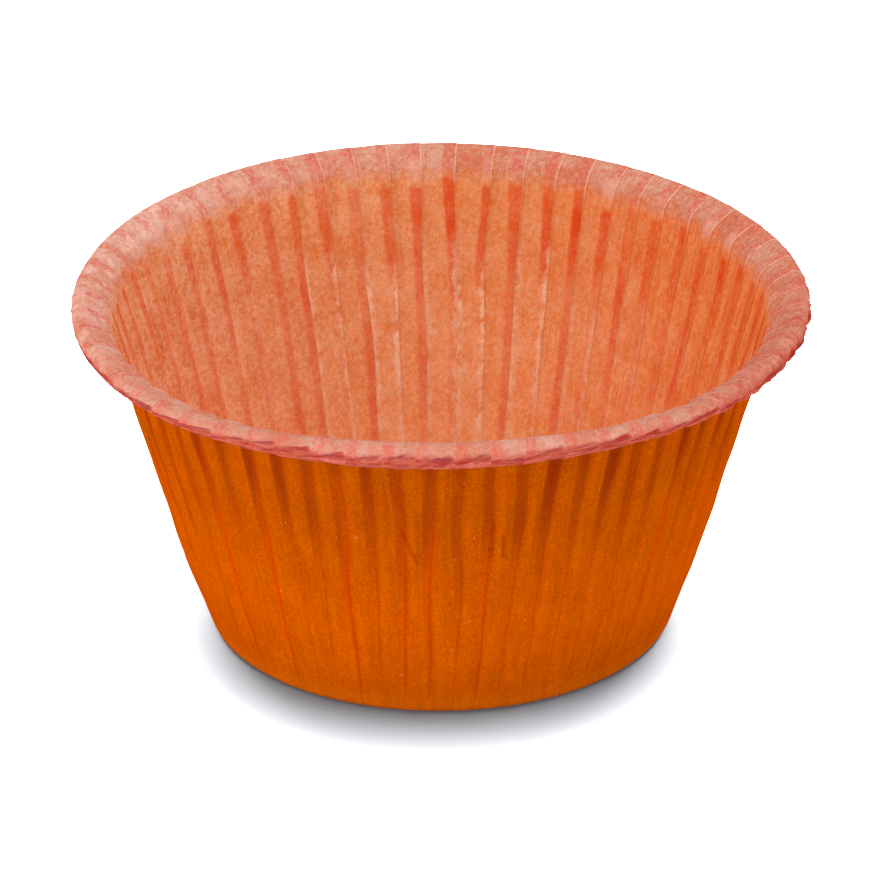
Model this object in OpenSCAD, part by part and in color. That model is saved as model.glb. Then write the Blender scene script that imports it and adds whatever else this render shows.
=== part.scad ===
// Pleated paper baking cup with a curled lip.
// One round blank of paper is pressed into a cup. What is too long round the wall is
// laid into flat laps, three layers thick, and the edge is bent out and curled under.

/* [Cup] */
// Diameter over the foot
base_d = 49.1; // [46:0.1:53]
// Radius of the bend at the foot, at the middle of the sheet
foot_r = 1.3; // [0.8:0.1:2.5]
// Diameter over the belt, where the wall turns steeper
belt_d = 55.7; // [54.5:0.1:59]
// Height of the belt above the table
belt_z = 9.6; // [7:0.1:13]
// Diameter of the mouth, where the wall runs out into the lip
mouth_d = 69.8; // [66:0.1:73]
// Height over the crest of the lip
height = 37.5; // [33:0.5:43]

/* [Lip] */
// Radius of the bend from the wall into the lip, at the middle of the sheet
lip_bend_r = 2.7; // [1.5:0.1:4]
// Width of the flat crest between the bend and the curl
crest_w = 0.05; // [0:0.05:2]
// Diameter over the curl
curl_d = 2.3; // [1.8:0.05:3]
// Angle through which the edge is curled
curl_turn = 230; // [150:5:260]

/* [Paper and pleats] */
// Thickness of the paper
sheet_t = 0.1; // [0.08:0.01:0.16]
// Number of pleats round the wall
pleat_count = 60; // [48:1:66]
// Depth of the flutes at the mouth
flute_depth = 0.3; // [0:0.05:0.6]
// Width over which a fold's edge steps from one layer to the next
fold_w = 0.06; // [0.04:0.01:0.08]

/* [Hidden] */

// Share of a pleat that its lap keeps where the laps run out at the foot
lap_share_min = 0.03;
// Share of a pleat at which its lap has come to full thickness
lap_share_full = 0.08;
// Points round one pleat, on each face of the sheet
POINTS_PER_PLEAT = 4;
columns = pleat_count * POINTS_PER_PLEAT;
pleat_angle = 360 / pleat_count;

// Corners and centres of the turned section, at the middle of the sheet
foot = [(base_d - sheet_t) / 2, sheet_t / 2];
belt = [(belt_d - sheet_t) / 2, belt_z];
crest_z = height - sheet_t / 2;
lip_centre = [mouth_d / 2 + lip_bend_r, crest_z - lip_bend_r];
curl_r = (curl_d - sheet_t) / 2;
curl_centre = [lip_centre.x + crest_w, crest_z - curl_r];

// Angle of the lower wall, and of the upper wall where it is tangent to the lip's bend
foot_to_belt = belt - foot;
lower_wall_angle = atan2(foot_to_belt.y, foot_to_belt.x);
belt_to_lip = lip_centre - belt;
upper_wall_angle = atan2(belt_to_lip.y, belt_to_lip.x) + asin(lip_bend_r / norm(belt_to_lip));

// The face of the sheet that looks into the cup lies to the left of its direction
function left_of(angle) = [-sin(angle), cos(angle)];

// A bend: [point, direction] at each step of a turn about a centre.
// A turn to the left is positive, and side is then -1.
function bend(centre, radius, from, to, first_step, steps) =
    let (side = to > from ? -1 : 1)
    [for (i = [first_step : steps])
        let (angle = from + (to - from) * i / steps)
        [centre + side * radius * left_of(angle), angle]];

foot_tangent = foot_r * tan(lower_wall_angle / 2);
foot_bend = bend([foot.x - foot_tangent, foot.y + foot_r], foot_r, 0, lower_wall_angle, 0, 2);
belt_bend = [[belt, (lower_wall_angle + upper_wall_angle) / 2]];
lip_bend = bend(lip_centre, lip_bend_r, upper_wall_angle, 0, 0, 3);
curl_bend = bend(curl_centre, curl_r, 0, -curl_turn, 1, 4);

// The whole section, from the foot to the free edge inside the curl
section = concat(foot_bend, belt_bend, lip_bend, curl_bend);
last = len(section) - 1;
mouth = len(foot_bend) + len(belt_bend);

// Length of sheet from the middle of the base to each point of the section
function sheet_length(i) =
    i == 0 ? section[0][0].x : sheet_length(i - 1) + norm(section[i][0] - section[i - 1][0]);

// A flat blank is longer round than the cup is at the same place. Each pleat takes up its
// part of that, and its lap is half as wide as what it takes up.
function lap_share(i) =
    max(lap_share_min, (sheet_length(i) / section[i][0].x - 1) / 2);

// How much of its full thickness a lap has
function lap_layers(share) =
    min(1, (share - lap_share_min) / (lap_share_full - lap_share_min));

// The flutes deepen with the laps up the wall, and are pressed flat on the lip
function flute(i, share) =
    i > mouth ? 0
    : flute_depth * (share - lap_share_min) / (lap_share(mouth) - lap_share_min);

// One pleat on the face that looks into the cup: [share of the pleat, offset into the cup].
// The lap stands proud and starts in a fold, and the panel beyond it bows outwards.
function inner_pleat(share, layers, depth, fold) = [
    [-fold, depth / 2 + sheet_t * (0.5 - layers)],
    [0, depth / 2 + sheet_t * (0.5 + layers)],
    [share, depth / 2 + sheet_t * (0.5 + layers)],
    [(1 + share) / 2, -depth / 2 + sheet_t / 2]
];

// The same on the outer face, from the middle of the panel before it. Here the fold is at
// the lap's other edge.
function outer_pleat(share, layers, depth, fold) = [
    [(share - 1) / 2, -depth / 2 - sheet_t / 2],
    [0, depth / 2 - sheet_t * (0.5 + layers)],
    [share, depth / 2 - sheet_t * (0.5 + layers)],
    [share + fold, depth / 2 - sheet_t * (0.5 - layers)]
];

// One ring of points round the cup, on one face of the sheet
function ring(i, inner) =
    let (
        point = section[i][0],
        normal = left_of(section[i][1]),
        share = lap_share(i),
        layers = lap_layers(share),
        depth = flute(i, share),
        fold = fold_w / (point.x * pleat_angle * PI / 180),
        pleat = inner ? inner_pleat(share, layers, depth, fold) : outer_pleat(share, layers, depth, fold)
    )
    [for (n = [0 : pleat_count - 1], p = pleat)
        let (
            angle = (n + p[0]) * pleat_angle,
            at = point + normal * p[1]
        )
        [at.x * cos(angle), at.x * sin(angle), at.y]];

// Two triangles between one column of points and the next, on rings that start at low and high.
// Both faces of the sheet are split along the same slant, so that it keeps its thickness.
function split_up(low, high, c, next) =
    [[low + c, high + c, high + next], [low + c, high + next, low + next]];
function split_down(low, high, c, next) =
    [[low + c, high + c, low + next], [high + c, high + next, low + next]];

// Rings in order: up the inner face to the free edge, then back down the outer face
module pleated_sheet() {
    inner_rings = [for (i = [0 : last]) ring(i, true)];
    outer_rings = [for (i = [last : -1 : 0]) ring(i, false)];
    rings = concat(inner_rings, outer_rings);
    points = [for (one = rings) each one];
    walls = [for (j = [0 : len(rings) - 2], c = [0 : columns - 1])
        let (
            next = (c + 1) % columns,
            low = j * columns,
            high = low + columns
        )
        each j <= last ? split_up(low, high, c, next) : split_down(low, high, c, next)];
    cup_floor = [for (c = [0 : columns - 1]) c];
    underside = [for (c = [columns - 1 : -1 : 0]) (len(rings) - 1) * columns + c];
    polyhedron(points, concat(walls, [cup_floor, underside]), convexity = 10);
}

module liner() {
    color([0.80, 0.36, 0.06]) pleated_sheet();
}

liner();
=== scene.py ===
import math

import bpy
import numpy as np
from mathutils import Matrix, Vector


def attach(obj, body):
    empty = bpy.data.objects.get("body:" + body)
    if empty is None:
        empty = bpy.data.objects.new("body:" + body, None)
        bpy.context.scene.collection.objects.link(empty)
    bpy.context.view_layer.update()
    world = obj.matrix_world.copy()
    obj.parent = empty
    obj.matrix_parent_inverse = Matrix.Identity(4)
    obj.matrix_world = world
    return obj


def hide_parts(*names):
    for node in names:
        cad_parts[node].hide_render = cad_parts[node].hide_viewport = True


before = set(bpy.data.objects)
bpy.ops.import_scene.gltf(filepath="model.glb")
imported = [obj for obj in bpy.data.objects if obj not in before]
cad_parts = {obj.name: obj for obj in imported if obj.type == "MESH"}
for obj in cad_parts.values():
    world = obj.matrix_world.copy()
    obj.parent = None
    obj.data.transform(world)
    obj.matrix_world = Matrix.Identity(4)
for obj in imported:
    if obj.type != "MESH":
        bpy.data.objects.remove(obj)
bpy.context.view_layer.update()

# ---------------------------------------------------------------------------
# Sizes in millimetres, the same as in the part's source
BASE_D, FOOT_R, BELT_D, BELT_Z = 49.1, 1.3, 55.7, 9.6
MOUTH_D, HEIGHT = 69.8, 37.5
BEND_R, CREST_W, CURL_D, CURL_TURN = 2.7, 0.05, 2.3, 230.0
SHEET, PLEATS, FOLD = 0.10, 60, 0.06
SHARE_MIN, SHARE_FULL = 0.03, 0.08

# Relief as the photograph shows it
FLUTE = 0.42            # depth of the flutes at the mouth
STEP_WALL = 0.032       # rise of one layer of a lap, on the wall
STEP_LIP = 0.012        # and where it is pressed flat on the lip
# How the lip leaves a circle: waves once, twice and three times round (cosine, sine)
OUT_OF_ROUND = {1: (0.17, -0.10), 2: (0.0, 0.12), 3: (-0.27, -0.26)}
LIP_FLAT = 0.5                  # how far the bend into the lip is pressed flat
GAPE_LEVEL = 88                 # degrees round the curl at which its layers gape
THICKER, LOWER = 0.40, 0.55     # of the lip, at the front and to either side of it
FRONT_SPREAD = 24               # degrees over which the lip is thicker
BESIDE, BESIDE_SPREAD = 46, 17          # and where it is lower
CRUMPLED, CRUMPLED_SPREAD = 66, 25      # where the curl is crumpled
WANDER = 0.22                   # degrees by which a fold strays on its way up the wall
LAP_UNEVEN, FLUTE_UNEVEN = 0.12, 0.35   # how much the laps and flutes vary, as a share
LAP_LIFT = 0.022                # how far a lap's free edge stands off, in places
PANEL_WAVES, PANEL_WAVE = 60, 0.009     # number of soft waves in the paper, and their size

# Rings of points: radii in the flat base, the belt's bend, and degrees round the curl,
# closest where its layers gape
BASE_RINGS = (4.5, 10.0, 16.0, 20.0, 22.0)
BELT_BEND_R = 8.0
CURL_RINGS = [14, 28, 40, 47, *range(52, 113, 4), 122, 136, 152, 170, 190, 212, CURL_TURN]

rng = np.random.default_rng(7)


# ---------------------------------------------------------------------------
# The turned section, from the middle of the base to the free edge inside the curl
def left_of(angle):
    return np.array([-math.sin(angle), math.cos(angle)])


def arc(centre, radius, angles):
    side = -1 if angles[-1] > angles[0] else 1
    return [(np.array(centre) + side * radius * left_of(a), a) for a in angles]


def section():
    foot = np.array([(BASE_D - SHEET) / 2, SHEET / 2])
    belt = np.array([(BELT_D - SHEET) / 2, BELT_Z])
    crest_z = HEIGHT - SHEET / 2
    lip = np.array([MOUTH_D / 2 + BEND_R, crest_z - BEND_R])
    curl_r = (CURL_D - SHEET) / 2
    curl = np.array([lip[0] + CREST_W, crest_z - curl_r])
    low = math.atan2(*(belt - foot)[::-1])
    run = lip - belt
    up = math.atan2(run[1], run[0]) + math.asin(BEND_R / np.hypot(*run))
    tangent = FOOT_R * math.tan(low / 2)
    points = [(np.array([r, SHEET / 2]), 0.0) for r in BASE_RINGS]
    foot_arc = arc([foot[0] - tangent, foot[1] + FOOT_R], FOOT_R, np.linspace(0, low, 5))
    points += foot_arc
    # the belt is a soft bend between the two straight walls
    back = BELT_BEND_R * math.tan((up - low) / 2)
    centre = belt - back * np.array([math.cos(low), math.sin(low)]) + BELT_BEND_R * left_of(low)
    belt_arc = arc(centre, BELT_BEND_R, np.linspace(low, up, 3))
    a, b = foot_arc[-1][0], belt_arc[0][0]
    points += [(a + (b - a) * q, low) for q in np.linspace(0, 1, 7)[1:-1]]
    points += belt_arc
    lip_arc = arc(lip, BEND_R, np.linspace(up, 0, 9))
    # pressed flatter, between a kink at the wall and the crest
    first, run, steps = lip_arc[0][0], lip_arc[-1][0] - lip_arc[0][0], len(lip_arc) - 1
    lip_arc = [(p + LIP_FLAT * (first + run * k / steps - p), a)
               for k, (p, a) in enumerate(lip_arc)]
    a, b = belt_arc[-1][0], lip_arc[0][0]
    points += [(a + (b - a) * q, up) for q in np.linspace(0, 1, 17)[1:-1]]
    marks = {"foot": len(BASE_RINGS), "mouth": len(points)}
    points += lip_arc
    marks["crest"] = len(points) - 1
    points += arc(curl, curl_r, -np.radians([0] + CURL_RINGS))[1:]
    return points, marks


ring_points, marks = section()
i_foot, i_mouth, i_crest = marks["foot"], marks["mouth"], marks["crest"]
# The sheet at each ring: its middle, direction and normal, and its length from the middle of
# the base; then a lap's share of its pleat and its thickness, as in the part's source
mid = np.array([p for p, _ in ring_points])
angle = np.array([a for _, a in ring_points])
slope = np.gradient(mid, axis=0)
angle[i_mouth:i_crest] = np.arctan2(slope[:, 1], slope[:, 0])[i_mouth:i_crest]
normal = np.stack([-np.sin(angle), np.cos(angle)], 1)
length = np.concatenate([[mid[0, 0]], mid[0, 0] + np.cumsum(np.hypot(*np.diff(mid, axis=0).T))])
share = np.maximum(SHARE_MIN, (length / mid[:, 0] - 1) / 2)
layers = np.clip((share - SHARE_MIN) / (SHARE_FULL - SHARE_MIN), 0, 1)
# 0 on the wall and 1 on the lip, reached a little before the crest
on_lip = np.clip((length - length[i_mouth]) / (0.7 * (length[i_crest] - length[i_mouth])), 0, 1)
on_lip = on_lip ** 2 * (3 - 2 * on_lip)
flute = FLUTE * np.clip((share - SHARE_MIN) / (share[i_mouth] - SHARE_MIN), 0, 1) * (1 - on_lip)
step = layers * (STEP_WALL * (1 - on_lip) + STEP_LIP * on_lip)
rings = len(ring_points)
# Degrees round the curl, and how far up the sheet lies, from the foot to the free edge
turn = np.degrees(np.clip(-angle, 0, None))
rise = (length - length[i_foot]) / (length[-1] - length[i_foot])

# ---------------------------------------------------------------------------
# Where the laps stand round the cup. The pleats are a little uneven: (lap, its angle in
# degrees from the front, anticlockwise from above), with even steps between.
LAPS = [(0, -59.6), (5, -29.6), (9, -7.9), (15, 25.1), (20, 52.9), (29, 109.0), (33, 135.8),
        (36, 153.4), (40, 177.5), (46, 213.2), (50, 240.0), (60, 300.4)]
# Laps whose fold has whitened and crinkled, and how strongly
WHITENED = {33: 0.3, 35: 0.5, 37: 0.9, 39: 1.0, 40: 0.6, 42: 1.0, 44: 0.8, 47: 0.3}
places = np.interp(np.arange(PLEATS), *zip(*LAPS)) + rng.uniform(-0.25, 0.25, PLEATS)
middle = np.radians(places)
pitch = 2 * math.pi / PLEATS


def smooth_noise(count, knots, at, seed):
    """count rows of smooth noise about 0, over at in 0..1, with that many knots."""
    g = np.random.default_rng(seed)
    values = g.normal(0, 1, (count, knots + 3))
    x = np.clip(at, 0, 1) * knots
    i = np.minimum(x.astype(int), knots - 1)
    f = x - i
    f = f * f * (3 - 2 * f)
    return values[:, i] * (1 - f) + values[:, i + 1] * f


def bell(x, centre, spread):
    return np.exp(-((x - centre) / spread) ** 2)


wander = smooth_noise(PLEATS, 5, rise, 11) * np.radians(WANDER)
uneven = np.clip(1 + LAP_UNEVEN * smooth_noise(PLEATS, 5, rise, 12), 0.7, 1.3)
lap = share[None, :] * pitch * uneven
# The fold's line, half a lap before its place; in the flat base it runs straight to the middle
line = middle[:, None] - lap[:, i_mouth - 6][:, None] / 2 + wander
line = np.where(rise[None, :] < 0, line[:, i_foot][:, None], line)
following = np.roll(line, -1, axis=0).copy()
following[-1] += 2 * math.pi
fold = FOLD / mid[:, 0][None, :] * np.ones((PLEATS, 1))

# ---------------------------------------------------------------------------
# Eleven columns of points across one pleat: the fold's foot, four on the lap, the other
# edge's foot, and five on the panel
COLUMNS = 11
theta = np.zeros((PLEATS, COLUMNS, rings))
offset_mid = np.zeros_like(theta)      # into the cup
bump_in = np.zeros_like(theta)
bump_out = np.zeros_like(theta)
depth = flute[None, :] * np.clip(1 + FLUTE_UNEVEN * smooth_noise(PLEATS, 4, rise, 13), 0.3, 1.8)
lift = LAP_LIFT * np.clip(0.5 + 0.8 * smooth_noise(PLEATS, 9, rise, 14), 0, 2) * layers[None, :]
theta[:, 0] = line - fold
offset_mid[:, 0] = depth / 2 - step
for k in range(4):
    theta[:, 1 + k] = line + lap * k / 3
    offset_mid[:, 1 + k] = depth / 2
    bump_in[:, 1 + k] = step + lift * (1 - k / 3) ** 1.5
    bump_out[:, 1 + k] = step + 0.5 * lift * (k / 3) ** 1.5
theta[:, 5] = line + lap + fold
offset_mid[:, 5] = depth / 2 + step
for k in range(5):
    q = (k + 1) / 6
    theta[:, 6 + k] = (line + lap + fold) * (1 - q) + (following - fold) * q
    offset_mid[:, 6 + k] = depth / 2 * math.cos(2 * math.pi * q) + step * (1 - 2 * q)

columns = PLEATS * COLUMNS
theta, offset_mid, bump_in, bump_out = (
    values.reshape(columns, rings) for values in (theta, offset_mid, bump_in, bump_out))
pleat_of = np.repeat(np.arange(PLEATS), COLUMNS)

# ---------------------------------------------------------------------------
# The paper isn't true: the cup is a little out of round, its panels are uneven, and the
# layers of the curled edge gape along a slanted line, once in each pleat.
facing = np.degrees(np.mod(theta + np.pi, 2 * np.pi) - np.pi)
outwards = np.zeros((columns, rings))
for n, (a, b) in OUT_OF_ROUND.items():
    outwards += (a * np.cos(n * theta) + b * np.sin(n * theta)) * np.clip(rise, 0, 1) ** 2
# the lip is thicker at the front, and lower on either side of it
front = bell(facing, 0, FRONT_SPREAD)
beside = bell(np.abs(facing), BESIDE, BESIDE_SPREAD)
near_crest = bell(length, length[i_crest], 2.2)
under_curl = np.clip((turn - 75) / 40, 0, 1)
upwards = (THICKER * front - LOWER * beside) * near_crest - 0.6 * THICKER * front * under_curl
# soft waves in the paper, up and round the wall
warp = np.zeros((columns, rings))
g = np.random.default_rng(21)
for _ in range(PANEL_WAVES):
    n, k = g.integers(9, 46), g.uniform(0.05, 0.35)
    ph, ph2 = g.uniform(0, 2 * np.pi, 2)
    wave = np.sin(n * theta + ph) * np.sin(k * length * 2 * np.pi / 2.2 + ph2)
    warp += PANEL_WAVE * wave * np.clip(rise * 6, 0, 1) * (1 - 0.6 * on_lip)

# how wide, how slanted and how far round the curl each pleat gapes, widest on the right
g = np.random.default_rng(33)
start = line[:, i_crest][pleat_of][:, None]
span = (following - line)[:, i_crest][pleat_of][:, None]
q = np.mod((theta - start) / span, 1.0)
to_right = np.clip((facing + 55) / 100, 0, 1)
opening = g.uniform(0.2, 1.5, PLEATS) * (0.45 + 0.75 * to_right[COLUMNS // 2::COLUMNS, i_crest])
slant = g.uniform(2, 10, PLEATS)
level = GAPE_LEVEL + g.normal(0, 6, PLEATS)
open_wide = opening[pleat_of][:, None]
line_at = level[pleat_of][:, None] - slant[pleat_of][:, None] * (2 * q - 1)
spread = 4.0 + 10.0 * open_wide * q ** 1.8
end = 1 - np.clip((q - 0.90) / 0.09, 0, 1)
gap = bell(turn[None, :], line_at, spread) * (0.45 + 0.55 * q) * end
gap_depth = 0.08 + 0.20 * open_wide * q
# a second, thinner one below it, out of step
q2 = np.mod(q + g.uniform(0.25, 0.75, PLEATS)[pleat_of][:, None], 1.0)
level2 = line_at + 19 + g.normal(0, 4, PLEATS)[pleat_of][:, None] - 8 * (q2 - 0.5)
gap2 = bell(turn[None, :], level2, 2.5 + 4.0 * open_wide * q2) * q2 * (1 - q2 ** 6) * 0.8


def ripples(count, fewest, most, across, vary):
    """A sum of waves, fewest to most of them round the cup, that also change over some
    degrees round the curl."""
    total = np.zeros_like(theta)
    for _ in range(count):
        n = g.integers(fewest, most)
        ph, ph2, k = g.uniform(0, 2 * np.pi, 3)
        total += np.sin(n * theta + ph) * np.sin(turn / across * (1 + k / vary) + ph2)
    return total


# crumpling of the curl, fine and coarse, and much more of it at the right front
crumple = ripples(60, 70, 420, 35, 3) / 5.5
coarse = ripples(24, 30, 90, 60, 4) / 3.5
wild = bell(facing, CRUMPLED, CRUMPLED_SPREAD)
on_curl = np.clip((turn - 30) / 40, 0, 1)
wild_at = wild * np.clip((turn - 48) / 36, 0, 1)
push = (warp - gap * gap_depth - gap2 * 0.10 + crumple * on_curl * (0.022 + 0.05 * wild_at)
        + coarse * on_curl * (0.02 + 0.15 * wild_at))

inner_off = offset_mid + SHEET / 2 + bump_in + push
outer_off = offset_mid - SHEET / 2 - bump_out + push
# the base stays flat where it stands on the table
inner_off[:, :i_foot + 1] = SHEET / 2
outer_off[:, :i_foot + 1] = -SHEET / 2


def place(off):
    r = mid[:, 0] + normal[:, 0] * off + outwards
    z = np.maximum(mid[:, 1] + normal[:, 1] * off + upwards, 0)
    points = np.stack([r * np.sin(theta), -r * np.cos(theta), z], -1)
    return points.transpose(1, 0, 2).reshape(-1, 3)


verts = np.concatenate([place(inner_off), place(outer_off)]) / 1000

# ---------------------------------------------------------------------------
# Faces: the inner face, the outer face, the free edge and the two flat middles of the base.
# corner_col and corner_ring say where on the sheet each corner lies, for the maps below.
c0 = np.arange(columns)
c1 = (c0 + 1) % columns
outer_start = rings * columns
quads, sides, corner_col, corner_ring = [], [], [], []
for side in (0, 1):
    for j in range(rings - 1):
        cols = np.stack([c0, c0, c1, c1], 1) if side == 0 else np.stack([c0, c1, c1, c0], 1)
        ring = np.array([j, j + 1, j + 1, j]) if side == 0 else np.array([j, j, j + 1, j + 1])
        ring = np.tile(ring, (columns, 1))
        quads.append(side * outer_start + ring * columns + cols)
        sides.append(np.full(columns, side))
        corner_col.append(cols)
        corner_ring.append(ring)
edge_in, edge_out = (rings - 1) * columns, outer_start + (rings - 1) * columns
quads.append(np.stack([edge_in + c1, edge_in + c0, edge_out + c0, edge_out + c1], 1))
sides.append(np.zeros(columns, int))
corner_col.append(np.stack([c1, c0, c0, c1], 1))
corner_ring.append(np.full((columns, 4), rings - 1))
quads, sides = np.concatenate(quads), np.concatenate(sides)
corner_col, corner_ring = np.concatenate(corner_col), np.concatenate(corner_ring)
caps = [list(c0), [outer_start + c for c in c0[::-1]]]

mesh = bpy.data.meshes.new("liner_paper")
loops = np.concatenate([quads.ravel(), np.concatenate(caps)]).astype(np.int32)
starts = np.concatenate([np.arange(len(quads)) * 4, [len(quads) * 4, len(quads) * 4 + columns]])
mesh.vertices.add(len(verts))
mesh.vertices.foreach_set("co", verts.ravel())
mesh.loops.add(len(loops))
mesh.loops.foreach_set("vertex_index", loops)
mesh.polygons.add(len(starts))
mesh.polygons.foreach_set("loop_start", starts.astype(np.int32))
mesh.update(calc_edges=True)
mesh.validate()
mesh.polygons.foreach_set("material_index", np.concatenate([sides, [0, 1]]).astype(np.int32))
mesh.polygons.foreach_set("use_smooth", np.ones(len(starts), bool))

# Corner maps in millimetres: the distance past this fold and on to the next; the lap's
# width and the length of sheet from the middle of the base
face_col = np.tile(c0, len(quads) // columns)[:, None]
own = pleat_of[face_col]
lap_face = (face_col % COLUMNS >= 1) & (face_col % COLUMNS <= 3)
t = theta[corner_col, corner_ring] + 2 * np.pi * ((corner_col == 0) & (own == PLEATS - 1))
radius = mid[:, 0][corner_ring]
past = (t - line[own, corner_ring]) * radius
ahead = (following[own, corner_ring] - t) * radius


def corner_map(name, u, v, rest):
    data = np.zeros((len(loops), 2), np.float32)
    data[:, :] = rest
    data[:len(quads) * 4, 0] = u.ravel()
    data[:len(quads) * 4, 1] = v.ravel()
    mesh.uv_layers.new(name=name).data.foreach_set("uv", data.ravel())


corner_map("folds", past, ahead, (9.0, 9.0))
corner_map("laps", lap[own, corner_ring] * radius, length[corner_ring], (0.0, 0.0))


def corner_value(name, values):
    data = np.zeros(len(loops), np.float32)
    data[:len(quads) * 4] = np.broadcast_to(values, corner_ring.shape).ravel()
    mesh.attributes.new(name, "FLOAT", "CORNER").data.foreach_set("value", data)


# Each pleat's own paper: how much its fold has whitened, how boldly its lap shows outside,
# and the tones of its lap and its panel
g = np.random.default_rng(5)
whitened = np.array([WHITENED.get(n, g.uniform(0, 0.08)) for n in range(PLEATS)])
bold = g.uniform(0, 1, PLEATS) < 0.45
boldness = np.where(bold, g.uniform(0.75, 1.0, PLEATS), g.uniform(0.05, 0.3, PLEATS))
tone = g.normal(0, 1, (PLEATS, 2))
# how strongly each lap shows: its dyed layers inside, and its painted shade outside
darkness = np.clip(0.84 + 0.19 * smooth_noise(PLEATS, 7, rise, 51), 0.3, 1.15)
corner_value("lap_dye_and_shade", darkness[own, corner_ring])
corner_value("crease", whitened[own])
corner_value("boldness", boldness[own])
corner_value("tone", np.where(lap_face, tone[own, 0], tone[own, 1]))
corner_value("lap_tone", tone[own, 0])
corner_value("opening", opening[own])
corner_value("gape_level", np.radians(level[own]) * (CURL_D - SHEET) / 2)
corner_value("gape_slant", np.radians(slant[own]) * (CURL_D - SHEET) / 2)
# Where a corner lies round the cup
corner_value("at_front", np.exp(-(facing[corner_col, corner_ring] / 55) ** 4))
corner_value("crumpled", wild[corner_col, corner_ring])
corner_value("at_right", bell(facing[corner_col, corner_ring], 112, 38))
corner_value("at_left", bell(facing[corner_col, corner_ring], -112, 42))

liner = bpy.data.objects.new("liner_paper", mesh)
bpy.context.scene.collection.objects.link(liner)


# ---------------------------------------------------------------------------
# Materials
def srgb(r, g, b):
    def lin(c):
        c /= 255
        return c / 12.92 if c <= 0.04045 else ((c + 0.055) / 1.055) ** 2.4
    return (lin(r), lin(g), lin(b), 1.0)


class Nodes:
    """Short names for the shader nodes of one tree."""

    def __init__(self, tree):
        self.tree = tree
        self.tree.nodes.clear()

    def add(self, kind, **values):
        n = self.tree.nodes.new(kind)
        for k, v in values.items():
            setattr(n, k, v)
        return n

    def put(self, socket, value):
        if isinstance(value, bpy.types.NodeSocket):
            self.tree.links.new(value, socket)
        else:
            socket.default_value = value

    def math(self, op, a, b=None):
        n = self.add("ShaderNodeMath", operation=op)
        self.put(n.inputs[0], a)
        if b is not None:
            self.put(n.inputs[1], b)
        return n.outputs[0]

    def plus(self, a, b):
        return self.math("ADD", a, b)

    def minus(self, a, b):
        return self.math("SUBTRACT", a, b)

    def times(self, *values):
        out = values[0]
        for v in values[1:]:
            out = self.math("MULTIPLY", out, v)
        return out

    def ramp(self, value, lo, hi, out_lo=0.0, out_hi=1.0):
        n = self.add("ShaderNodeMapRange", interpolation_type="SMOOTHSTEP")
        self.put(n.inputs["Value"], value)
        for key, v in (("From Min", lo), ("From Max", hi), ("To Min", out_lo), ("To Max", out_hi)):
            self.put(n.inputs[key], v)
        return n.outputs["Result"]

    def stroke(self, value, centre, half, soft):
        """1 within half of centre, falling to 0 over soft more."""
        off = self.math("ABSOLUTE", self.minus(value, centre))
        return self.ramp(off, half, half + soft, 1.0, 0.0)

    def mix(self, factor, a, b):
        n = self.add("ShaderNodeMix", data_type="RGBA", blend_type="MIX")
        n.clamp_factor = True
        self.put(n.inputs[0], factor)
        self.put(n.inputs[6], a)
        self.put(n.inputs[7], b)
        return n.outputs[2]

    def noise(self, vector, scale, detail=2.0, rough=0.5, distortion=0.0):
        n = self.add("ShaderNodeTexNoise")
        self.put(n.inputs["Vector"], vector)
        n.inputs["Scale"].default_value = scale
        n.inputs["Detail"].default_value = detail
        n.inputs["Roughness"].default_value = rough
        n.inputs["Distortion"].default_value = distortion
        return n.outputs["Fac"]

    def stretch(self, vector, x, y, z):
        n = self.add("ShaderNodeVectorMath", operation="MULTIPLY")
        self.put(n.inputs[0], vector)
        n.inputs[1].default_value = (x, y, z)
        return n.outputs[0]

    def streaks(self, across, up, shift, rough=0.6, distortion=0.0):
        """Noise in a pleat's own directions, so that it can be drawn out along it."""
        return self.noise(self.vector(across, up, shift), 1.0, 2.0, rough, distortion)

    def value(self, name):
        return self.add("ShaderNodeAttribute", attribute_name=name).outputs["Fac"]

    def pair(self, name):
        uv = self.add("ShaderNodeUVMap", uv_map=name)
        split = self.add("ShaderNodeSeparateXYZ")
        self.tree.links.new(uv.outputs[0], split.inputs[0])
        return split.outputs[0], split.outputs[1]

    def vector(self, *parts):
        n = self.add("ShaderNodeCombineXYZ")
        for socket, part in zip(n.inputs, parts):
            self.put(socket, part)
        return n.outputs[0]

    def grain(self, colour, amount):
        """The colour, lighter or darker by that factor."""
        n = self.add("ShaderNodeVectorMath", operation="SCALE")
        self.put(n.inputs[0], colour)
        self.put(n.inputs["Scale"], amount)
        return n.outputs[0]

    def place(self):
        """Place on the object in millimetres."""
        return self.stretch(self.add("ShaderNodeTexCoord").outputs["Object"], 1000, 1000, 1000)

    def paper(self, colour, height, bump):
        shader = self.add("ShaderNodeBsdfPrincipled")
        self.put(shader.inputs["Base Color"], colour)
        self.put(shader.inputs["Roughness"], self.ramp(height, 0.3, 0.7, 0.70, 0.82))
        shader.inputs["Specular IOR Level"].default_value = 0.0
        relief = self.add("ShaderNodeBump")
        relief.inputs["Distance"].default_value = bump / 1000
        relief.inputs["Strength"].default_value = 0.9
        self.put(relief.inputs["Height"], height)
        self.put(shader.inputs["Normal"], relief.outputs[0])
        self.put(self.add("ShaderNodeOutputMaterial").inputs["Surface"], shader.outputs[0])

    def seen_rays(self):
        """1 for what the camera sees, straight or in a mirror or through glass."""
        rays = self.add("ShaderNodeLightPath").outputs
        mirrored = self.math("MAXIMUM", rays["Is Glossy Ray"], rays["Is Transmission Ray"])
        return self.math("MAXIMUM", rays["Is Camera Ray"], mirrored)

    def choose(self, factor, a, b):
        n = self.add("ShaderNodeMixShader")
        self.put(n.inputs[0], factor)
        self.put(n.inputs[1], a.outputs[0])
        self.put(n.inputs[2], b.outputs[0])
        return n.outputs[0]


def material(name):
    made = bpy.data.materials.new(name)
    made.use_nodes = True
    return made, Nodes(made.node_tree)


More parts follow.
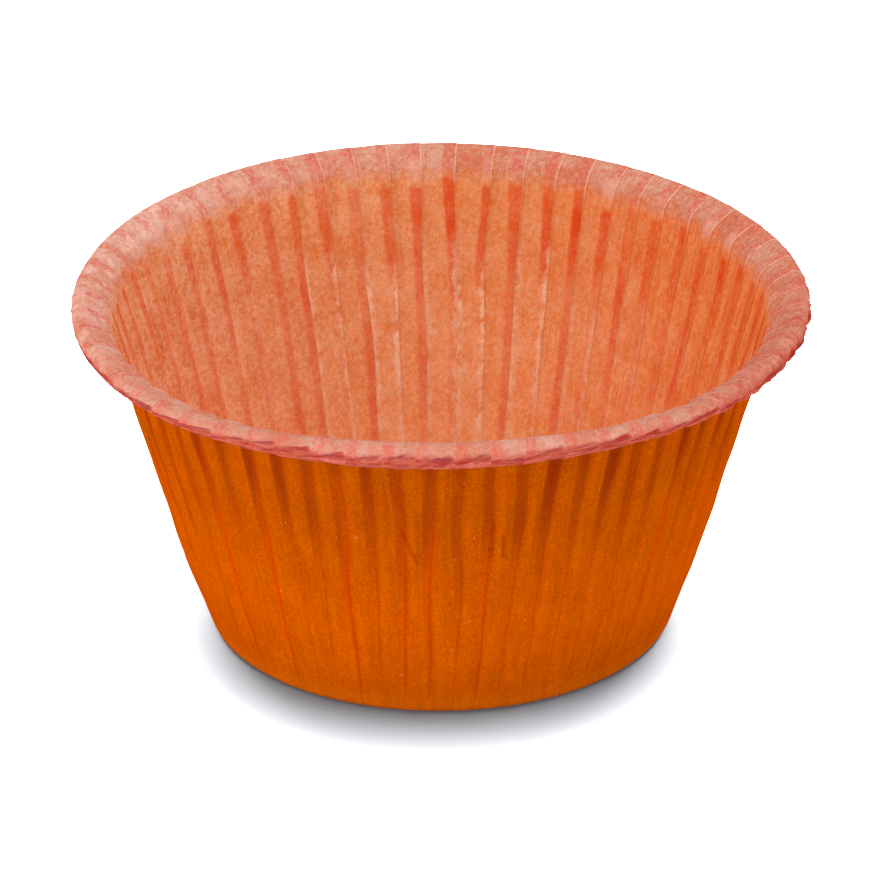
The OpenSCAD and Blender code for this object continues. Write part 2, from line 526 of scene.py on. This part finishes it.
L_FOOT, L_MOUTH = float(length[i_foot]), float(length[i_mouth])
L_CREST = float(length[i_crest])
GAPE_MIDDLE = math.radians(GAPE_LEVEL) * (CURL_D - SHEET) / 2


def at_height(z):
    """Length of sheet at which the wall is z millimetres above the table."""
    return float(np.interp(z, mid[i_foot:i_crest, 1], length[i_foot:i_crest]))


def up_wall(n, along, low, high, at_low=0.0, at_high=1.0):
    """A ramp between two heights on the wall, in millimetres above the table."""
    return n.ramp(along, at_height(low), at_height(high), at_low, at_high)


def paper_inside():
    made, n = material("paper_inside")
    xyz = n.place()
    past, ahead = n.pair("folds")
    width, along = n.pair("laps")
    lap_dye_and_shade, crease, opening = n.value("lap_dye_and_shade"), n.value("crease"), n.value("opening")
    tone, lap_tone, crumpled = n.value("tone"), n.value("lap_tone"), n.value("crumpled")
    front, right, left = n.value("at_front"), n.value("at_right"), n.value("at_left")
    # the distance from the nearest fold, to either side of it
    near_this = n.math("LESS_THAN", n.math("ABSOLUTE", past), ahead)
    signed = n.minus(n.times(past, near_this), n.times(ahead, n.minus(1.0, near_this)))

    # the paper: pale fibres and deeper orange between them, in blots of about half a millimetre
    cloud = n.noise(xyz, 0.30, 2.0, 0.5)
    fibre = n.noise(xyz, 1.9, 3.0, 0.60, 0.3)
    fine = n.noise(xyz, 6.0, 2.0, 0.6)
    mottle = n.plus(n.times(fibre, 0.50), n.plus(n.times(cloud, 0.30), n.times(fine, 0.20)))
    mottle = n.plus(mottle, n.times(tone, 0.005))
    spread = n.ramp(mottle, 0.36, 0.64)
    # lower in the cup the paper is painted paler: painted light that makes up for the shade deep
    # inside it
    high = n.mix(spread, srgb(219, 126, 64), srgb(229, 160, 114))
    low = n.mix(spread, srgb(246, 162, 96), srgb(253, 194, 148))
    base = n.mix(up_wall(n, along, 2, 30), low, high)
    # the base is plainer than the wall
    on_wall = n.ramp(along, L_FOOT - 2.0, L_FOOT + 4.0)
    base = n.mix(on_wall, n.mix(spread, srgb(214, 124, 66), srgb(222, 152, 108)), base)
    # painted light: more orange on the right, as light shining through the paper, and paler on the
    # left, as more brightly lit; streaked up and down on both
    oranger = n.mix(spread, srgb(229, 98, 10), srgb(238, 150, 78))
    paler = n.mix(spread, srgb(222, 118, 60), srgb(246, 188, 152))
    base = n.mix(n.times(right, on_wall, 0.55), base, oranger)
    base = n.mix(n.times(left, on_wall, 0.60), base, paler)
    sides = n.times(n.plus(n.plus(right, n.times(left, 0.5)), 0.12), on_wall)
    up_down = n.streaks(n.times(past, 3.0), n.times(along, 0.28), n.times(lap_tone, 9.0))
    base = n.mix(n.times(n.ramp(up_down, 0.52, 0.66), sides, 0.44), base, srgb(236, 160, 122))
    base = n.mix(n.times(n.ramp(up_down, 0.48, 0.34), sides, 0.44), base, srgb(214, 96, 34))
    top_right = n.times(right, up_wall(n, along, 26, 32), n.ramp(cloud, 0.35, 0.65, 0.3, 1.0))
    base = n.mix(n.times(top_right, 0.40), base, srgb(208, 88, 44))
    # the lip is paler and pinker
    lip_mottle = n.plus(mottle, n.times(tone, 0.016))
    lip = n.mix(n.ramp(lip_mottle, 0.36, 0.64), srgb(199, 108, 76), srgb(209, 154, 132))
    smoother = n.mix(n.ramp(cloud, 0.35, 0.65), srgb(194, 126, 104), srgb(199, 148, 132))
    lip = n.mix(n.times(front, 0.55), lip, smoother)
    # on the left the lip is painted paler too: painted light
    lip = n.mix(n.times(left, 0.45), lip, n.mix(spread, srgb(222, 158, 138), srgb(236, 188, 170)))
    ragged = n.plus(along, n.times(n.minus(n.noise(xyz, 0.8, 3.0, 0.65), 0.5), 2.8))
    base = n.mix(n.ramp(ragged, L_MOUTH - 1.7, L_MOUTH + 1.1), base, lip)

    # the laps show red, deepest just below the lip, where they start at once, and pinker
    # lower down; one whose fold has whitened shows only above the crinkles
    from_top = n.plus(along, n.times(lap_tone, 0.45))
    past_band = n.minus(past, n.math("MAXIMUM", width, 0.95))
    band = n.times(n.ramp(past, -0.08, 0.12), n.ramp(past_band, -0.28, 0.18, 1.0, 0.0))
    below = n.ramp(from_top, L_MOUTH - 1.7, L_MOUTH - 0.8, 1.0, 0.0)
    deep = up_wall(n, along, 2, 30, 0.85, 1.0)
    worn = n.times(crease, up_wall(n, along, 22, 28, 1.0, 0.0))
    patchy = n.plus(n.times(fibre, 0.35), n.times(n.noise(xyz, 0.33, 2.0, 0.6), 0.65))
    even = up_wall(n, along, 12, 33, 0.62, 0.80)
    even = n.times(even, n.minus(1.0, n.times(sides, 0.30)))
    patchy = n.ramp(patchy, 0.38, 0.62, 1.0, even)
    fading = n.ramp(along, L_FOOT - 2.5, at_height(8))
    strong = n.times(band, below, deep, fading, patchy, lap_dye_and_shade)
    strong = n.times(strong, n.minus(1.0, n.times(left, 0.30)), n.minus(1.0, n.times(worn, 0.85)))
    red = n.mix(up_wall(n, along, 14, 32), srgb(226, 100, 66), srgb(216, 74, 28))
    base = n.mix(n.times(strong, 0.92), base, red)
    # on the lip the laps are pink, some with a whitish patch where the wall bends over, and
    # there are red blots, and pale ones on the left
    on_bend = n.ramp(along, L_MOUTH - 1.0, L_MOUTH + 0.8)
    pink = n.times(band, on_bend, n.ramp(fibre, 0.40, 0.60, 0.9, 0.4))
    base = n.mix(n.times(pink, 0.72), base, srgb(208, 98, 82))
    patch = n.times(band, n.stroke(along, L_MOUTH + 0.3, 0.3, 1.3), n.ramp(lap_tone, -0.2, 1.2))
    base = n.mix(n.times(patch, 0.55), base, srgb(224, 164, 142))
    blot = n.ramp(n.noise(xyz, 0.7, 3.0, 0.6), 0.50, 0.66)
    blot = n.times(blot, n.ramp(along, L_CREST - 2.0, L_CREST + 0.6))
    blot = n.times(blot, n.minus(1.0, n.plus(n.times(front, 0.6), n.times(left, 0.25))))
    base = n.mix(n.times(blot, 0.55), base, srgb(202, 86, 72))
    pale_blot = n.ramp(n.noise(xyz, 0.55, 3.0, 0.65), 0.47, 0.62)
    pale_blot = n.times(pale_blot, left, n.ramp(along, L_MOUTH, L_MOUTH + 1.5))
    base = n.mix(n.times(pale_blot, 0.45), base, srgb(244, 204, 190))
    # in front, the start of a pleat is whitish; q runs from 0 to 1 across it
    q = n.math("DIVIDE", past, n.plus(past, ahead))
    whitish = n.times(front, n.ramp(q, 0.0, 0.04), n.ramp(q, 0.30, 0.62, 1.0, 0.0))
    whitish = n.times(whitish, n.ramp(lap_tone, -0.8, 0.8),
                      n.stroke(along, L_MOUTH + 1.6, 0.9, 0.9))
    base = n.mix(n.times(whitish, 0.60), base, srgb(220, 168, 154))
    # crumpled at the right front, in wrinkles across the lip
    all_lip = n.times(crumpled, n.ramp(along, L_MOUTH - 0.5, L_MOUTH + 1.5))
    crushed = n.mix(spread, srgb(180, 84, 62), srgb(204, 124, 102))
    base = n.mix(n.times(all_lip, 0.62), base, crushed)
    # its wrinkles get painted highlights and painted shade
    wrinkle = n.streaks(n.times(past, 1.9), n.times(along, 0.55), n.times(lap_tone, 5.0),
                        0.65, 0.6)
    base = n.mix(n.times(n.ramp(wrinkle, 0.52, 0.64), all_lip, 0.28), base, srgb(212, 150, 130))
    base = n.mix(n.times(n.ramp(wrinkle, 0.46, 0.34), all_lip, 0.40), base, srgb(166, 60, 46))
    outer_edge = n.times(crumpled, n.ramp(along, L_CREST + 0.6, L_CREST + 1.6))
    base = n.mix(n.times(outer_edge, 0.55), base, srgb(172, 56, 40))
    # the layers of the curled edge gape along a slanted line, once in each pleat: below it the
    # curl's underside is painted redder and duller as shade, with streaks along the edge, the dark
    # ones painted shade too, and the gape is painted dark, a painted shadow
    centred = n.minus(n.times(q, 2.0), 1.0)
    wobble = n.times(n.minus(n.noise(xyz, 0.9, 2.0, 0.5), 0.5), 0.5)
    wobbly = n.minus(n.plus(along, wobble), L_CREST)
    gape = n.minus(n.value("gape_level"), n.times(n.value("gape_slant"), centred))
    beyond = n.minus(wobbly, gape)
    past_middle = n.minus(wobbly, GAPE_MIDDLE)
    streak_at = n.streaks(n.times(past, 0.30), n.times(along, 1.6), n.times(lap_tone, 2.0))
    curl_underside_shade = n.ramp(n.plus(n.times(past_middle, 0.75), n.times(beyond, 0.25)), -0.55, 0.45)
    base = n.mix(n.times(curl_underside_shade, 0.85), base, srgb(178, 74, 50))
    # painted shade just below the gape
    shade_below_gape = n.times(n.stroke(beyond, 0.20, 0.12, 0.36), curl_underside_shade)
    shade_below_gape = n.times(shade_below_gape, n.ramp(streak_at, 0.40, 0.56, 0.45, 1.0))
    base = n.mix(n.times(shade_below_gape, 0.70), base, srgb(156, 38, 34))
    slanted = n.times(n.plus(along, n.times(past, 0.10)), 3.0)
    streak = n.streaks(n.times(past, 0.40), slanted, n.times(lap_tone, 2.0), 0.65, 0.8)
    base = n.mix(n.times(n.ramp(streak, 0.48, 0.64), curl_underside_shade, 0.65), base, srgb(138, 38, 42))
    base = n.mix(n.times(n.ramp(streak, 0.46, 0.34), curl_underside_shade, 0.50), base, srgb(206, 120, 112))
    # the gape's painted shadow, wider where it opens more
    half = n.plus(0.05, n.times(q, q, opening, 0.20))
    gape_shadow = n.ramp(n.math("DIVIDE", n.math("ABSOLUTE", beyond), half), 0.3, 2.2, 1.0, 0.0)
    gape_shadow = n.times(gape_shadow, n.ramp(q, 0.10, 0.55), n.ramp(q, 0.86, 0.99, 1.0, 0.0))
    gape_shadow = n.times(gape_shadow, n.ramp(streak, 0.36, 0.50, 0.25, 1.0))
    wide = n.ramp(n.times(q, opening), 0.15, 0.7)
    gape_shadow_colour = n.mix(wide, srgb(136, 54, 68), srgb(164, 34, 30))
    base = n.mix(n.times(gape_shadow, 0.80), base, gape_shadow_colour)

    # a fine pale fold line on the lip, whitened paper and a painted highlight on its edge, with a
    # darker one beside it, a painted shadow, faint down the wall
    on_lip = n.ramp(along, L_MOUTH - 2.2, L_MOUTH)
    on_lip = n.times(on_lip, n.ramp(along, L_CREST + 0.2, L_CREST + 1.2, 1.0, 0.1))
    on_lip = n.times(on_lip, n.minus(1.0, n.times(n.math("MAXIMUM", front, crumpled), 0.8)))
    broken = n.ramp(fibre, 0.36, 0.52, 0.45, 1.0)
    fold_shadow = n.times(n.stroke(signed, -0.14, 0.0, 0.14), up_wall(n, along, 12, 26, 0.2, 1.0), broken)
    fold_shadow = n.times(fold_shadow, n.ramp(along, L_CREST, L_CREST + 0.8, 1.0, 0.0), on_wall)
    fold_shadow = n.times(fold_shadow, n.plus(n.minus(0.26, n.times(front, 0.18)), n.times(right, 0.55)))
    base = n.mix(fold_shadow, base, srgb(200, 84, 16))
    fold_white_and_highlight = n.times(n.stroke(signed, 0.0, 0.03, 0.11), on_lip, broken)
    base = n.mix(n.times(fold_white_and_highlight, 0.60), base, srgb(232, 182, 162))
    # crinkled, whitened folds, with soft wrinkles that run off to the sides
    wave = n.minus(n.noise(xyz, 0.90, 2.0, 0.6), 0.5)
    wavy = n.plus(signed, n.times(wave, 1.9))
    own_top = n.plus(along, n.times(lap_tone, 1.5))
    where = n.times(up_wall(n, along, 1.5, 6), up_wall(n, own_top, 23, 28, 1.0, 0.0))
    gaps = n.ramp(n.noise(xyz, 0.6, 2.0, 0.6), 0.30, 0.52, 0.35, 1.0)
    body = n.ramp(n.noise(n.stretch(xyz, 1, 1, 0.5), 1.1, 1.0, 0.5), 0.36, 0.64, 0.32, 0.95)
    off_line = n.math("ABSOLUTE", n.minus(wavy, -0.05))
    crinkle = n.times(n.ramp(n.math("DIVIDE", off_line, body), 0.0, 1.0, 1.0, 0.0), gaps)
    ridge = n.stroke(n.noise(n.stretch(xyz, 1, 1, 0.45), 0.55, 1.0, 0.5), 0.5, 0.0, 0.060)
    ridge = n.times(ridge, n.stroke(wavy, 0.0, 0.3, 1.4), 0.45)
    crinkle = n.times(n.math("MAXIMUM", crinkle, ridge), where, crease)
    base = n.mix(n.times(crinkle, 0.88), base, srgb(248, 208, 174))
    base = n.grain(base, n.ramp(n.noise(xyz, 5.0, 1.5, 0.7), 0.25, 0.75, 0.87, 1.13))

    height = n.plus(n.plus(n.times(fibre, 0.6), n.times(fine, 0.4)), n.times(crinkle, 0.8))
    n.paper(base, height, 0.05)
    return made


# Small creases in front, seen outside under the lip and drawn as lines of painted shade, in
# millimetres: how far right and how high their middle lies, half their length, and how far
# right they run per millimetre up
CREASES = [(-3.2, 23.0, 2.6, -0.35), (5.2, 23.6, 2.9, 0.08), (6.5, 22.6, 2.0, -0.05)]


def paper_outside():
    made, n = material("paper_outside")
    xyz = n.place()
    past, _ = n.pair("folds")
    width, along = n.pair("laps")
    lap_dye_and_shade, boldness, lap_tone = n.value("lap_dye_and_shade"), n.value("boldness"), n.value("lap_tone")
    front, right, left = n.value("at_front"), n.value("at_right"), n.value("at_left")
    past_lap = n.minus(past, width)
    # strong orange, painted darker and browner towards the lip: painted shade under it
    cloud = n.noise(xyz, 0.28, 3.0, 0.6)
    fine = n.noise(xyz, 3.2, 3.0, 0.65)
    spread = n.ramp(n.plus(n.times(cloud, 0.30), n.times(fine, 0.70)), 0.38, 0.62)
    high_up = n.mix(spread, srgb(168, 66, 0), srgb(180, 80, 0))
    low_down = n.mix(spread, srgb(201, 78, 0), srgb(211, 91, 0))
    base = n.mix(up_wall(n, along, 1, 28), low_down, high_up)
    # the laps are painted brown-dark under the lip, painted shade where the lip shades them and
    # less light comes through their three layers; they are soft-edged and fade down the wall
    band = n.times(n.ramp(past, -0.85, 0.60), n.ramp(past_lap, -0.50, 0.80, 1.0, 0.0))
    high = up_wall(n, along, 13, 34, 0.10, 1.0)
    base = n.mix(n.times(band, high, lap_dye_and_shade, 0.88), base, srgb(132, 40, 5))
    # lower down their edge is redder, and ends in a thin line
    stray = n.plus(past_lap, n.times(n.minus(n.noise(xyz, 0.35, 2.0, 0.6), 0.5), 0.5))
    red = n.times(n.stroke(stray, -0.10, 0.12, 0.60), up_wall(n, along, 20, 29, 1.0, 0.2))
    red = n.times(red, n.ramp(along, L_FOOT + 1, at_height(10)), boldness)
    base = n.mix(n.times(red, 0.42), base, srgb(206, 60, 0))
    thin = n.times(n.stroke(stray, 0.0, 0.02, 0.22), up_wall(n, along, 12, 22, 1.0, 0.1))
    thin = n.times(thin, n.ramp(along, L_FOOT - 0.5, L_FOOT + 3, 0.2, 1.0), boldness)
    base = n.mix(n.times(thin, 0.30), base, srgb(172, 46, 0))
    # the lap's other edge is a faint line halfway up
    second = n.times(n.stroke(past, 0.0, 0.02, 0.12), up_wall(n, along, 11, 15))
    second = n.times(second, up_wall(n, along, 20, 25, 1.0, 0.0))
    base = n.mix(n.times(second, 0.10), base, srgb(170, 56, 2))
    # the bend at the foot is painted paler, painted light from the floor below, and there are a
    # few pale specks
    base = n.mix(up_wall(n, along, 0.2, 3.5, 1.0, 0.0), base, srgb(232, 104, 8))
    speck = n.ramp(n.noise(xyz, 1.9, 0.0, 0.5), 0.83, 0.88)
    base = n.mix(n.times(speck, 0.32), base, srgb(230, 140, 80))
    # the small creases, lines of painted shade, which sway a little
    split = n.add("ShaderNodeSeparateXYZ")
    n.put(split.inputs[0], xyz)
    across, _, above = split.outputs
    sway = n.times(n.minus(n.noise(xyz, 0.6, 2.0, 0.6), 0.5), 1.6)
    for x, z, half, slope in CREASES:
        up = n.minus(above, z)
        off = n.minus(n.plus(across, sway), n.plus(n.times(up, slope), x))
        crease = n.times(n.stroke(off, 0.0, 0.05, 0.30), n.stroke(up, 0.0, half - 1.0, 1.0), front)
        base = n.mix(n.times(crease, 0.55), base, srgb(138, 44, 0))
    base = n.grain(base, n.ramp(n.noise(xyz, 4.2, 2.0, 0.65), 0.28, 0.72, 0.88, 1.12))
    # faint streaks run up and down the wall, redder on both sides
    up_down = n.streaks(n.times(past, 1.1), n.times(along, 0.11), n.times(lap_tone, 9.0))
    base = n.grain(base, n.ramp(up_down, 0.32, 0.68, 0.93, 1.06))
    to_side = n.math("MAXIMUM", left, right)
    redder = n.times(to_side, n.ramp(up_down, 0.40, 0.60, 0.1, 1.0), 0.65)
    base = n.mix(redder, base, srgb(204, 62, 0))
    grainy = n.plus(n.times(fine, 0.5), n.times(n.noise(xyz, 2.6, 2.0, 0.55), 0.5))
    n.paper(base, grainy, 0.05)
    return made


mesh.materials.append(paper_inside())
mesh.materials.append(paper_outside())
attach(liner, "root")
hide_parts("liner")

# ---------------------------------------------------------------------------
# Floor: white where it is lit, and grey in the shadow that the cup keeps on it
FLOOR_REACH = 6.0                   # metres from the middle to each side
scene = bpy.context.scene
ground = bpy.data.meshes.new("floor")
corners = [(x * FLOOR_REACH, y * FLOOR_REACH, 0) for x, y in ((-1, -1), (1, -1), (1, 1), (-1, 1))]
ground.from_pydata(corners, [], [(0, 1, 2, 3)])
floor = bpy.data.objects.new("floor", ground)
scene.collection.objects.link(floor)
floor_white, n = material("floor_white")
seen, other = n.add("ShaderNodeBsdfDiffuse"), n.add("ShaderNodeBsdfDiffuse")
seen.inputs["Color"].default_value = (0.0585, 0.0595, 0.0620, 1)
other.inputs["Color"].default_value = (0.016, 0.016, 0.016, 1)
# a little light is left in the shadow, even at the foot
glows = []
for floor_shader, strength in ((other, 0.22), (seen, 0.078)):
    glow, both = n.add("ShaderNodeEmission"), n.add("ShaderNodeAddShader")
    glow.inputs["Color"].default_value = (0.96, 0.93, 1.0, 1)
    glow.inputs["Strength"].default_value = strength
    n.put(both.inputs[0], floor_shader.outputs[0])
    n.put(both.inputs[1], glow.outputs[0])
    glows.append(both)
n.put(n.add("ShaderNodeOutputMaterial").inputs["Surface"], n.choose(n.seen_rays(), *glows))
ground.materials.append(floor_white)

# ---------------------------------------------------------------------------
# Light
scene.view_settings.view_transform = "Standard"
world = bpy.data.worlds.new("studio")
scene.world = world
world.use_nodes = True
n = Nodes(world.node_tree)
soft, white = n.add("ShaderNodeBackground"), n.add("ShaderNodeBackground")
soft.inputs["Color"].default_value = (0.98, 0.99, 1.0, 1)
soft.inputs["Strength"].default_value = 0.80
n.put(n.add("ShaderNodeOutputWorld").inputs["Surface"], n.choose(n.seen_rays(), soft, white))


def lamp(name, kind, where, towards, power, **values):
    data = bpy.data.lights.new(name, kind)
    data.energy = power
    for k, v in values.items():
        setattr(data, k, v)
    ob = bpy.data.objects.new(name, data)
    ob.location = where
    ob.rotation_mode = "QUATERNION"
    ob.rotation_quaternion = (Vector(towards) - Vector(where)).to_track_quat("-Z", "Y")
    scene.collection.objects.link(ob)
    return ob


lamp("key", "AREA", (-0.60, -0.55, 0.60), (0, 0, 0.02), 2.5, shape="DISK", size=0.7,
     color=(1.0, 0.99, 0.97))
lamp("fill", "AREA", (0.55, 0.18, 0.78), (0, 0, 0.02), 2.9, shape="DISK", size=0.7)
lamp("low", "AREA", (-0.36, -0.90, 0.15), (0, 0, 0.01), 2.3, shape="DISK", size=0.6)
# Lights for the floor alone, so that it is white and the cup's shadow lies round the base:
# one overhead, and two weaker ones from behind on either side
only_floor = bpy.data.collections.new("only_floor")
only_floor.objects.link(floor)
for name, azimuth, height, strength, spread in (("over_floor", 180, 87, 196.0, 53),
                                                ("behind_left", -153, 44, 41.0, 34),
                                                ("behind_right", 153, 44, 58.0, 34)):
    a, e = math.radians(azimuth), math.radians(height)
    towards_sun = (math.cos(e) * math.sin(a), -math.cos(e) * math.cos(a), math.sin(e))
    sun = lamp(name, "SUN", towards_sun, (0, 0, 0), strength, angle=math.radians(spread))
    sun.light_linking.receiver_collection = only_floor

# ---------------------------------------------------------------------------
# The camera's place was fitted to the outlines of the rim, wall and base
ELEVATION, DISTANCE = math.radians(24.97), 0.775
FRAME_PX = 870                      # width and height of the photograph
RIM_RADIUS, RIM_Z = 0.03875, 0.0369
RIM_HALF_WIDTH_PX = 369.0           # how wide the rim is in it
RIM_X_PX, RIM_Y_PX = 440.3, 293.8   # and where its centre lies
LEAN = math.radians(-0.45)
focal_px = RIM_HALF_WIDTH_PX * math.sqrt((DISTANCE / RIM_RADIUS) ** 2 - math.cos(ELEVATION) ** 2)
forward = Vector((0, math.cos(ELEVATION), -math.sin(ELEVATION)))
side = Vector((1, 0, 0))
up = side.cross(forward)
cam = bpy.data.cameras.new("camera")
cam.sensor_width = 36.0
cam.lens = focal_px * cam.sensor_width / FRAME_PX
cam.clip_start, cam.clip_end = 0.05, 50
camera = bpy.data.objects.new("camera", cam)
scene.collection.objects.link(camera)
axis = forward * focal_px - side * (RIM_X_PX - FRAME_PX / 2) - up * (FRAME_PX / 2 - RIM_Y_PX)
camera.rotation_mode = "QUATERNION"
lean = Matrix.Rotation(LEAN, 3, "Z").to_quaternion()
camera.rotation_quaternion = axis.to_track_quat("-Z", "Y") @ lean
camera.location = Vector((0, 0, RIM_Z)) - forward * DISTANCE
scene.camera = camera
